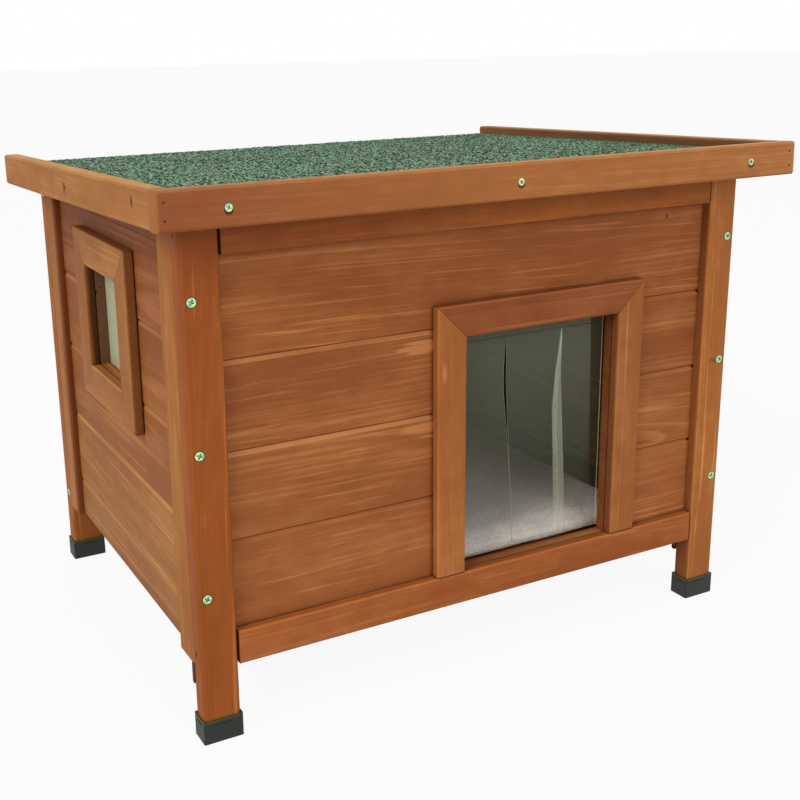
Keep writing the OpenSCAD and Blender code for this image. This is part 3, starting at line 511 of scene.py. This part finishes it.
# the window trims' edge faces are darker: the front trim's forward face, the rear trim's inner face and the top
# trim's upper face
darker_trim_edge = srgb(84, 38, 18, 0.5)
gap_shadow = srgb(40, 20, 10, 0.75)
trim_foot = ((0, front_y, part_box("door_trim_left")[0].z), (1, 1, 0.0012), srgb(70, 30, 12, 0.8), 0.5, 0)
trim_spots = {
    "window_trim_bottom": [
        ((-0.2625, 0.0600, 0.2280), (0.01, 0.0018, 0.0030), srgb(60, 26, 12, 0.7), 0.5, 0),
    ],
    "window_trim_front": [((front_low.x, front_low.y, 0.3), (1, 0.0012, 1), darker_trim_edge, 0.6, 0)],
    "window_trim_rear": [
        ((rear_low.x, rear_low.y, opening_z), (1, 0.0012, 0.10), darker_trim_edge, 0.6, 0),
        ((rear_high.x, rear_low.y, opening_z), (0.0075, 0.0012, 0.10), gap_shadow, 0.4, 0),
    ],
    "window_trim_top": [((front_low.x, 0, front_high.z), (1, 1, 0.0012), darker_trim_edge, 0.6, 0)],
    "door_trim_left": [((-0.0440, front_y, 0.2650), (0.0030, 0.01, 0.0110), flame, 0.8, 0), trim_foot],
    "door_trim_right": [door_jamb_shade, trim_foot],
}
for seed, (trim, (grain, tone)) in enumerate(trim_tones.items(), 71):
    marks = trim_spots.get(trim, ())
    wood = stained_wood(trim + "_wood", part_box(trim), grain, tone, seed, rings=0.45, streaks=0.6, spots=marks)
    dress(nodes[trim], wood)


# Window pane: a milky plastic plate held behind the left wall by four small screws.
# It lets some light through and looks pale green from outside.
def thin_plastic(name, look, milky):
    """See-through plastic; look gives its colour and the share of light that each face stops."""
    material, tree = new_look(name)
    place = shade(tree, "TexCoord").outputs["Object"]
    dust = speckle(tree, place, 14.0, 3.0)
    tint, veil = look(tree, shade(tree, "SeparateXYZ", {0: place}).outputs)
    cover(tree, {"Base Color": tint, "Roughness": milky, "Alpha": sum_of(tree, veil, (dust, 0.06))})
    return material


def pane_look(tree, place):
    """Pale green, a little thinner towards the top."""
    return srgb(206, 214, 178), span(tree, place[2], 0.24, 0.34, 0.86, 0.80)


dress(nodes["window_pane"], thin_plastic("window_plastic", pane_look, 0.2))


# Curtain: one sheet of clear PVC, screwed under a batten above the doorway and slit into three strips.
# The strips hang a little askew, so the slits open downwards and the cut edges catch the light.
header_low, header_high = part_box("curtain_header")
hang_z = header_low.z


def sheet_look(tree, place):
    """Grey-green, thinner towards the lower end, clear along the upper ends and the right edge; the veil is the
    sheet's own tint and a painted reflection.
    """
    seam = reckon(tree, "COMPARE", place[2], hang_z, 0.0003)
    # the veil thickens towards the top: painted reflection of the bright studio, over the sheet's own
    # grey-green
    veil = span(tree, place[2], 0.11, 0.27, 0.0, 0.27)
    # the clear margin's line leans a little, away from the right edge towards the top; in the margin the
    # painted reflection is thin
    margin = sum_of(tree, 0.0, (place[2], 0.036), (place[0], 1))
    veil = reckon(tree, "MULTIPLY", veil, span(tree, margin, 0.1258, 0.1270, 1.0, 0.25))
    return srgb(113, 120, 96), reckon(tree, "SUBTRACT", veil, seam)


def lapped_look(tree, place):
    """The sheet's look, with a paler band where the strip's curled edge lies behind its neighbour: the plastic
    is doubled there, and the paleness is a painted highlight.
    """
    # the band's left side leans one way up to the middle and the other way above it
    left_line = span(tree, place[2], 0.112, 0.209, 0.085, 0.080)
    left_line = sum_of(tree, 0.0, (span(tree, place[2], 0.209, 0.281, 0.0, 0.0045), 1), (left_line, 1))
    band = span(tree, reckon(tree, "SUBTRACT", place[0], left_line), -0.0005, 0.0005)
    tint, veil = sheet_look(tree, place)
    fade = span(tree, place[2], 0.13, 0.27, 0.08, 0.20)
    return lay_over(tree, band, tint, srgb(206, 216, 190)), sum_of(tree, veil, (band, fade))


def edge_look(tree, place):
    """The pale cut edges, a little more solid at the top."""
    return srgb(196, 208, 168), span(tree, place[2], 0.10, 0.26, 0.55, 0.75)


sheet_plastic = thin_plastic("curtain_plastic", sheet_look, 0.1)
lapped_plastic = thin_plastic("curtain_lap", lapped_look, 0.12)
cut_edge = thin_plastic("curtain_cut_edge", edge_look, 0.3)
mesh_step = 0.004


def hang_sheet(name, low, high, plastic, shape=None):
    """A sheet hanging between two corners, moved sideways and inwards by a shape, thickened behind.

    The shape reads how far to the right and how far down a point lies, each from 0 to 1.
    """
    deselect()
    wide, tall = high.x - low.x, high.z - low.z
    bpy.ops.mesh.primitive_grid_add(
        x_subdivisions=max(2, round(wide / mesh_step)), y_subdivisions=max(2, round(tall / mesh_step)),
        size=1, location=((low.x + high.x) / 2, low.y, (low.z + high.z) / 2), rotation=(math.pi / 2, 0, 0),
    )
    sheet = bpy.context.object
    sheet.name = name
    sheet.scale = (wide, tall, 1)
    bpy.ops.object.transform_apply(location=True, rotation=True, scale=True)
    if shape:
        for point in sheet.data.vertices:
            sideways, inwards = shape((point.co.x - low.x) / wide, (high.z - point.co.z) / tall)
            point.co.x += sideways
            point.co.y += inwards
    dress(sheet, plastic)
    sheet.data.materials.append(cut_edge)
    wall = sheet.modifiers.new("thickness", "SOLIDIFY")
    wall.thickness = high.y - low.y
    wall.offset = -1
    wall.material_offset_rim = 1
    bpy.ops.object.modifier_apply(modifier="thickness")
    bpy.ops.object.shade_smooth_by_angle(angle=math.radians(40))
    return sheet


def ease(t):
    """Goes from 0 to 1 without a kink at either end."""
    t = min(1.0, max(0.0, t))
    return t * t * (3 - 2 * t)


def left_shape(u, v):
    """Leans to the right lower down, with its slit edge drawn back near the top."""
    lean = 0.0105 * u * ease((v - 0.16) / 0.84)
    wedge = -0.0014 * ease(u * 2 - 1) * ease(v / 0.16) * (1 - ease((v - 0.2) / 0.25))
    return lean + wedge, 0.0012 * math.sin(math.pi * u) * ease(v * 2)


def middle_shape(u, v):
    """Leans to the right all the way and stands a little inwards, bowed across."""
    return 0.0125 * v, 0.0030 * ease(v / 0.25) + 0.0010 * math.sin(math.pi * u) * ease(v * 2)


def right_shape(u, v):
    """Hangs straight, with its slit edge bulging to the left in the upper half."""
    edge = ease(1 - u * 3)
    bulge = 0.0045 * ease(v / 0.38) * (1 - ease((v - 0.4) / 0.5))
    return -bulge * edge, -0.0010 * edge * ease(v / 0.5)


header = hang_sheet("pvc_header", header_low, header_high, sheet_plastic)
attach(header, "house")
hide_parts("curtain_header")
for side, shape in (("left", left_shape), ("middle", middle_shape), ("right", right_shape)):
    low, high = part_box("curtain_strip_" + side)
    plastic = lapped_plastic if side == "middle" else sheet_plastic
    strip = hang_sheet("pvc_strip_" + side, low, Vector((high.x, high.y, hang_z)), plastic, shape)
    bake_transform(strip)
    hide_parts("curtain_strip_" + side)


# Inner woodwork: the floor panel on its two bearers, the roof board, and the batten over the curtain.
# They have one thin coat of the same stain.
for plank, grain, seed in (
    ("floor_panel", "X", 81), ("floor_bearers", "Y", 82),
    ("curtain_batten", "X", 83), ("roof_board", "X", 84),
):
    wood = stained_wood(plank + "_wood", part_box(plank), grain, srgb(132, 78, 40), seed, rings=0.6)
    dress(nodes[plank], wood)


# Fleece pad: a loose quilted mat with a short pile, filled with wadding, on the floor panel.
# Its top and underside are sewn together round the edge, and it swells between the seams.
fleece, tree = new_look("pad_fleece")
place = shade(tree, "TexCoord").outputs["Object"]
tufts = shade(tree, "TexNoise", {"Vector": place, "Scale": 260.0, "Detail": 4.0, "Roughness": 0.75})
pile = sum_of(tree, 0.0, (tufts.outputs["Fac"], 0.7), (speckle(tree, place, 38.0, 3.0), 0.3))
cover(tree, {
    "Base Color": lay_over(tree, span(tree, pile, 0.38, 0.62), srgb(234, 220, 208), srgb(255, 250, 242)),
    "Roughness": 0.95, "Sheen Weight": 0.35, "Sheen Roughness": 0.5, "Specular IOR Level": 0.1,
    "Normal": relief(tree, pile, 0.9, 0.002),
})


def apply_all(piece):
    """Applies a piece's modifiers in their order."""
    deselect()
    piece.select_set(True)
    bpy.context.view_layer.objects.active = piece
    for modifier in list(piece.modifiers):
        bpy.ops.object.modifier_apply(modifier=modifier.name)


def swell(piece, frames, pressure, limit):
    """Fills a closed cover with wadding: cloth under pressure, each point within a limit of its start."""
    start = [point.co.copy() for point in piece.data.vertices]
    cloth = piece.modifiers.new("wadding", "CLOTH")
    cloth.settings.use_pressure = True
    cloth.settings.uniform_pressure_force = pressure
    cloth.settings.effector_weights.gravity = 0
    cloth.point_cache.frame_start = 1
    cloth.point_cache.frame_end = frames
    for step in range(1, frames + 1):
        scene.frame_set(step)
    apply_all(piece)
    scene.frame_set(1)
    for point, was in zip(piece.data.vertices, start):
        moved = point.co - was
        if moved.length > limit:
            point.co = was + moved * (limit / moved.length)


pad_low, pad_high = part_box("floor_cushion")
pad_middle = (pad_low + pad_high) / 2
pad_size = pad_high - pad_low
pad_edge = 0.011
pad_slack = 0.010
pad_crown = 0.0055
deselect()
bpy.ops.mesh.primitive_cube_add(size=1, location=(pad_middle.x, pad_middle.y, pad_low.z + pad_edge / 2))
pad = bpy.context.object
pad.name = "fleece_pad"
pad.scale = (pad_size.x - pad_slack, pad_size.y - pad_slack, pad_edge)
bpy.ops.object.transform_apply(location=True, rotation=True, scale=True)
corners = pad.modifiers.new("corners", "BEVEL")
corners.width = 0.0045
corners.segments = 3
skin = pad.modifiers.new("skin", "REMESH")
skin.mode = "VOXEL"
skin.voxel_size = 0.005
apply_all(pad)
swell(pad, 20, 4.0, 0.005)
for point in pad.data.vertices:
    across = min(1.0, abs(point.co.x - pad_middle.x) / (pad_size.x / 2))
    along = min(1.0, abs(point.co.y - pad_middle.y) / (pad_size.y / 2))
    crown = (1 - across ** 4) * (1 - along ** 4)
    if point.co.z > pad_low.z + pad_edge / 2:
        point.co.z += pad_crown * crown
    push = noise.noise(point.co * 55) * 0.0009 + noise.noise(point.co * 16) * 0.0016
    point.co.z = min(pad_high.z, max(pad_low.z, point.co.z + push * crown))
    point.co.x = min(pad_high.x, max(pad_low.x, point.co.x))
    point.co.y = min(pad_high.y, max(pad_low.y, point.co.y))
fine = pad.modifiers.new("fine", "SUBSURF")
fine.levels = 1
fine.render_levels = 1
apply_all(pad)
bpy.ops.object.shade_smooth()
dress(pad, fleece)
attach(pad, "house")
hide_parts("floor_cushion")


# Screws, hinges and nails: the screws are zinc-plated with a pale yellow-green tinge, and their cross
# recesses hold a blue-green shadow. The hinges are plain zinc-plated steel, the nails bare and dark.
def plated(name, pale, bright, recess_shade, roughness, metallic):
    """Plated or bare steel: mottled between two colours, with a darker one in its recesses as painted shade."""
    material, tree = new_look(name)
    place = shade(tree, "TexCoord").outputs["Object"]
    bloom = speckle(tree, place, 420.0)
    painted_nook_shade = shade(tree, "AmbientOcclusion", {"Distance": 0.0016}, samples=6).outputs["AO"]
    mottled = lay_over(tree, span(tree, bloom, 0.4, 0.6), pale, bright)
    colour = lay_over(tree, span(tree, painted_nook_shade, 0.45, 0.92, 1.0, 0.0), mottled, recess_shade)
    cover(tree, {
        "Base Color": colour, "Roughness": span(tree, bloom, 0.3, 0.7, roughness, roughness + 0.12),
        "Metallic": metallic,
    })
    return material


zinc = plated("zinc_plate", srgb(128, 214, 176), srgb(232, 244, 168), srgb(6, 84, 96), 0.32, 0.5)
for metal in ("frame_screws", "small_screws", "roof_screws"):
    dress(nodes[metal], zinc)
hinge_zinc = plated("hinge_zinc", srgb(150, 162, 152), srgb(206, 212, 196), srgb(52, 66, 64), 0.3, 0.7)
for metal in ("hinge_leaves_fixed", "hinge_leaves_moving", "hinge_pins"):
    dress(nodes[metal], hinge_zinc)
bare_steel = plated("nail_steel", srgb(40, 28, 20), srgb(84, 70, 52), srgb(16, 10, 8), 0.45, 0.5)
for metal in ("frame_nails", "roof_nails"):
    dress(nodes[metal], bare_steel)


# Roof felt: bitumen sheet with pressed-in grey-green mineral granules, glued to the roof board.
# It lies a little below the edge boards' tops, and its cut rear edge is rough.
felt_low, felt_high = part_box("roof_felt")
granules, tree = new_look("granules")
place = shade(tree, "TexCoord").outputs["Object"]
cells = shade(tree, "TexVoronoi", {"Vector": place, "Scale": 480.0})
own = shade(tree, "SeparateColor", {0: cells.outputs["Color"]}).outputs[0]
clumps = speckle(tree, place, 400.0)
fade = speckle(tree, place, 9.0)
tone = sum_of(tree, -0.84, (own, 1.1), (span(tree, clumps, 0.4, 0.6), 1.45), (fade, 0.3))
colours = shade(tree, "ValToRGB", {"Fac": tone})
ramp = colours.color_ramp
ramp.elements[0].color = srgb(18, 38, 26)
ramp.elements[1].color = srgb(172, 206, 176)
ramp.elements.new(0.3).color = srgb(56, 92, 62)
ramp.elements.new(0.65).color = srgb(106, 144, 108)
where = shade(tree, "SeparateXYZ", {0: place}).outputs
from_left = span(tree, where[0], felt_low.x + 0.012, felt_low.x + 0.034, 0.75, 0.0)
from_right = span(tree, where[0], felt_high.x - 0.030, felt_high.x, 0.0, 0.6)
from_front = span(tree, where[1], felt_low.y + 0.004, felt_low.y + 0.024, 0.6, 0.0)
sheltered = reckon(tree, "MAXIMUM", reckon(tree, "MAXIMUM", from_left, from_right), from_front)
cover(tree, {
    "Base Color": lay_over(tree, sheltered, colours.outputs[0], srgb(48, 124, 62)),
    "Roughness": span(tree, own, 0.0, 1.0, 0.65, 0.95), "Specular IOR Level": 0.1,
    "Normal": relief(tree, tone, 0.8, 0.002),
})

roof_pitch = math.radians(1.8)
felt_t = 0.0025
felt_w = felt_high.x - felt_low.x
felt_run = (felt_high.y - felt_low.y - felt_t * math.sin(roof_pitch)) / math.cos(roof_pitch)
granule = 0.0019
stones = bpy.data.textures.new("granule_stones", "CLOUDS")
stones.noise_scale = 0.0021
stones.noise_depth = 1
deselect()
bpy.ops.mesh.primitive_grid_add(
    x_subdivisions=round(felt_w / granule), y_subdivisions=round(felt_run / granule), size=1,
)
felt = bpy.context.object
felt.name = "granule_felt"
felt.scale = (felt_w, felt_run, 1)
bpy.ops.object.transform_apply(location=True, rotation=True, scale=True)
raised = felt.modifiers.new("granules", "DISPLACE")
raised.texture = stones
raised.texture_coords = "LOCAL"
raised.direction = "Z"
raised.strength = 0.0022
raised.mid_level = 0.6
bpy.ops.object.modifier_apply(modifier="granules")
bpy.ops.object.mode_set(mode="EDIT")
bpy.ops.mesh.select_all(action="SELECT")
bpy.ops.mesh.region_to_loop()
bpy.ops.mesh.extrude_edges_move(TRANSFORM_OT_translate={"value": (0, 0, -felt_t)})
bpy.ops.transform.resize(value=(1, 1, 0), center_override=(0, 0, -felt_t))
bpy.ops.mesh.edge_face_add()
bpy.ops.mesh.select_all(action="SELECT")
bpy.ops.mesh.normals_make_consistent(inside=False)
bpy.ops.mesh.select_all(action="DESELECT")
bpy.ops.object.mode_set(mode="OBJECT")
for point in felt.data.vertices:
    point.select = point.co.y > felt_run / 2 - granule / 2
bpy.ops.object.mode_set(mode="EDIT")
bpy.ops.transform.vertex_random(offset=0.0006, seed=5)
bpy.ops.object.mode_set(mode="OBJECT")
felt.rotation_euler = (-roof_pitch, 0, 0)
felt.location = (
    0,
    (felt_low.y + felt_high.y) / 2 + felt_t / 2 * math.sin(roof_pitch),
    (felt_low.z + felt_high.z) / 2 + felt_t / 2 * math.cos(roof_pitch),
)
bpy.ops.object.transform_apply(location=True, rotation=True, scale=True)
dress(felt, granules)
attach(felt, "roof")
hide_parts("roof_felt")


# Roof edge boards: three planed strips round the roof board, screwed in front and nailed at the sides.
# The front one covers the side ones' ends, with two nails at each corner.
edge_tones = {
    "roof_edge_front": ("X", srgb(166, 104, 56)), "roof_edge_left": ("Y", srgb(167, 107, 53)),
    "roof_edge_right": ("Y", srgb(156, 98, 52)),
}
roof_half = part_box("roof_edge_front")[1].x
roof_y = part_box("roof_edge_front")[0].y
slot_mark = srgb(40, 20, 10, 0.9)
edge_screws = [(x, roof_y, 0.4159) for x in (-0.235, 0, 0.235)]
edge_spots = {
    "roof_edge_left": [
        ((-roof_half, -0.1783, 0.4197), (0.005, 0.0023, 0.0042), slot_mark, 0.3, 0),
        ((-roof_half, 0.0033, 0.4101), (0.005, 0.0023, 0.0042), slot_mark, 0.3, 0),
        ((-roof_half, 0.0033, 0.4080), (0.005, 0.0070, 0.0100), srgb(104, 52, 22, 0.5), 0.9, 0.004),
        ((-roof_half, 0.1827, 0.4063), (0.005, 0.0022, 0.0030), srgb(170, 150, 60, 0.7), 0.5, 0),
        ((-roof_half, 0.0420, 0.4100), (0.005, 0.0160, 0.0110), srgb(150, 88, 48, 0.5), 0.9, 0.020),
    ],
    "roof_edge_front": [
        ((-roof_half, roof_y, 0.41), (0.30, 0.05, 0.10), srgb(119, 50, 33, 0.5), 1.0, 0),
        ((-roof_half, roof_y, 0.41), (0.0020, 0.05, 0.10), srgb(165, 106, 52, 0.8), 0.3, 0),
    ] + [(screw, (0.0037,) * 3, umber[:3] + (0.8,), 0.2, 0) for screw in edge_screws],
    "roof_edge_right": [
        # the inner face is darkened: painted shade
        ((roof_half - 0.015, 0, 0.43), (0.0015, 1, 0.02), srgb(96, 66, 50, 0.7), 0.5, 0),
    ],
}
for seed, (strip, (grain, tone)) in enumerate(edge_tones.items(), 91):
    marks = edge_spots[strip]
    wood = stained_wood(
        strip + "_wood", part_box(strip), grain, tone, seed,
        rings=0.35, streaks=0.35, edge_wear_and_light=0.6, paler_top=0.42, spots=marks,
    )
    dress(nodes[strip], wood)


deselect()
